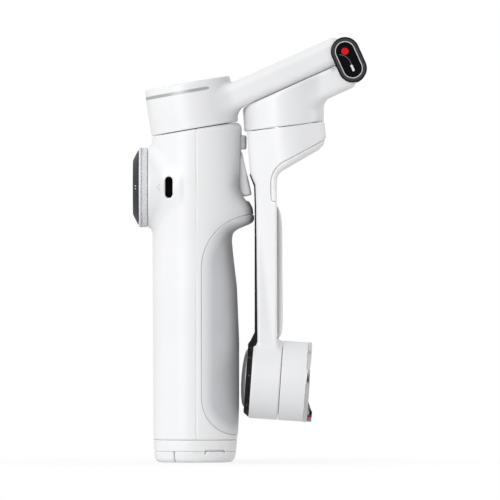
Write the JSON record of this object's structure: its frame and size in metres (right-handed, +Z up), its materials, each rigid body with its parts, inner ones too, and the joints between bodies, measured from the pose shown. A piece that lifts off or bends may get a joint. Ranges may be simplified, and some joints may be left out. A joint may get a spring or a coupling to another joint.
{
  "type": "handheld gimbal stabilizer",
  "caption": "Folded three-axis handheld stabilizer with a control dial, trigger, rubber grip, double-pivot fold hinge, pan, roll and tilt motors and a tripod in its base.",
  "frame": {"origin": "centre of the base, at the mouth of the tripod thread", "axes": "+Z up the handle, -X towards the control dial, +X towards the trigger and the folded arms, -Y is the side with the charging port"},
  "size_m": [0.0912, 0.0342, 0.1656],
  "materials": {
    "board_green": "satin",
    "brass_insert": "turned",
    "cell_wrap": "gloss",
    "chrome_ring": "polished",
    "copper": "wound wire",
    "dark_gloss": "gloss",
    "dark_plate": "fine matte",
    "dome_silver": "satin metallic",
    "grip_rubber": "soft matte",
    "inner_dark": "matte",
    "key_grey": "satin",
    "link_dark": "fine texture",
    "mark_white": "gloss",
    "red_dot": "gloss",
    "silver_band": "satin",
    "steel": "brushed",
    "trigger_grey": "satin",
    "trim_grey": "satin",
    "white_knurl": "satin",
    "white_satin": "satin"
  },
  "bodies": {
    "handle": {"front_shell": "white_satin", "rear_shell": "white_satin", "grip_pad": "grip_rubber", "base_ring": "white_satin", "battery_cell": "cell_wrap", "main_board": "board_green", "usb_port": "steel", "port_bezel": "dark_gloss", "dial_base": "white_satin", "dial_panel": "dark_plate", "trigger_bracket": "inner_dark", "trigger_pin": "steel", "trigger_spring": "steel", "trigger_switch": "inner_dark", "fold_bumper": "key_grey", "pan_base": "inner_dark", "pan_axle": "steel", "pan_stator": "copper", "tripod_sleeve": "inner_dark"},
    "zoom_wheel": {"zoom_ring": "white_knurl"},
    "button": {"panel_button": "dark_gloss"},
    "trigger_lever": {"trigger": "trigger_grey"},
    "tripod_core": {"tripod_hub": "dark_plate", "thread_insert": "brass_insert", "leg_pins": "steel"},
    "leg_a": {"tripod_leg_a": "white_satin"},
    "leg_b": {"tripod_leg_b": "white_satin"},
    "leg_c": {"tripod_leg_c": "white_satin"},
    "upper_arm": {"pan_arm": "white_satin", "pan_cap": "white_satin", "pan_band": "silver_band", "pan_magnets": "steel", "pan_bearing": "steel", "hinge_gear_upper": "steel"},
    "fold_link": {"link_plate_near": "link_dark", "link_plate_far": "link_dark", "link_trim": "trim_grey", "link_dot": "red_dot", "link_mark": "mark_white", "hinge_pins": "steel"},
    "lower_arm": {"roll_housing": "white_satin", "hinge_gear_lower": "steel", "roll_stator": "copper", "roll_bearing": "steel"},
    "roll_frame": {"roll_arm": "white_satin", "roll_arm_cover": "white_satin", "arm_spine": "white_satin", "arm_strip": "dark_plate", "outer_disc": "dome_silver", "roll_magnets": "steel", "roll_axle": "steel", "tilt_stator": "copper", "tilt_bearing": "steel"},
    "tilt_head": {"tilt_rotor": "white_satin", "tilt_ring": "chrome_ring", "clamp_seat": "key_grey", "locating_key": "key_grey", "tilt_magnets": "steel", "tilt_axle": "steel"}
  },
  "joints": [
    {"name": "zoom_turn", "type": "hinge", "parent": "handle", "child": "zoom_wheel", "pos_m": [-0.0201, 0, 0.1071], "axis": [-1, 0, 0], "continuous": true},
    {"name": "button_press", "type": "slide", "parent": "handle", "child": "button", "axis": [1, 0, 0], "range_m": [0, 0.0005]},
    {"name": "trigger_pull", "type": "hinge", "parent": "handle", "child": "trigger_lever", "pos_m": [0.0136, 0, 0.1215], "axis": [0, 1, 0], "range_deg": [0, 8]},
    {"name": "tripod_out", "type": "slide", "parent": "handle", "child": "tripod_core", "axis": [0, 0, -1], "range_m": [0, 0.046]},
    {"name": "leg_a_pivot", "type": "hinge", "parent": "tripod_core", "child": "leg_a", "pos_m": [0.00365, 0.00632, 0.041], "axis": [0.866, -0.5, 0], "range_deg": [0, 31.5]},
    {"name": "leg_b_pivot", "type": "hinge", "parent": "tripod_core", "child": "leg_b", "pos_m": [-0.0073, 0, 0.041], "axis": [0, 1, 0], "range_deg": [0, 31.5]},
    {"name": "leg_c_pivot", "type": "hinge", "parent": "tripod_core", "child": "leg_c", "pos_m": [0.00365, -0.00632, 0.041], "axis": [-0.866, -0.5, 0], "range_deg": [0, 31.5]},
    {"name": "pan", "type": "hinge", "parent": "handle", "child": "upper_arm", "pos_m": [0, 0, 0.1299], "axis": [-0.1702, 0, 0.9854], "range_deg": [-7, 7]},
    {"name": "fold", "type": "hinge", "parent": "upper_arm", "child": "fold_link", "pos_m": [0.05842, 0, 0.15998], "axis": [0, -1, 0], "range_deg": [0, 130]},
    {"name": "fold_lower", "type": "hinge", "parent": "fold_link", "child": "lower_arm", "pos_m": [0.06138, 0, 0.15342], "axis": [0, -1, 0], "range_deg": [0, 130]},
    {"name": "roll", "type": "hinge", "parent": "lower_arm", "child": "roll_frame", "pos_m": [0.0352, 0, 0.1308], "axis": [-0.1288, 0, 0.9917], "range_deg": [-5, 5]},
    {"name": "tilt", "type": "hinge", "parent": "roll_frame", "child": "tilt_head", "pos_m": [0.0333, 0, 0.0319], "axis": [0.9976, 0, -0.0698], "range_deg": [-100, 180]}
  ],
  "couplings": [
    {"joint": "fold_lower", "follows": "fold", "ratio": 1},
    {"joint": "leg_a_pivot", "follows": "tripod_out", "rad_per_m": 11.952},
    {"joint": "leg_b_pivot", "follows": "tripod_out", "rad_per_m": 11.952},
    {"joint": "leg_c_pivot", "follows": "tripod_out", "rad_per_m": 11.952}
  ]
}
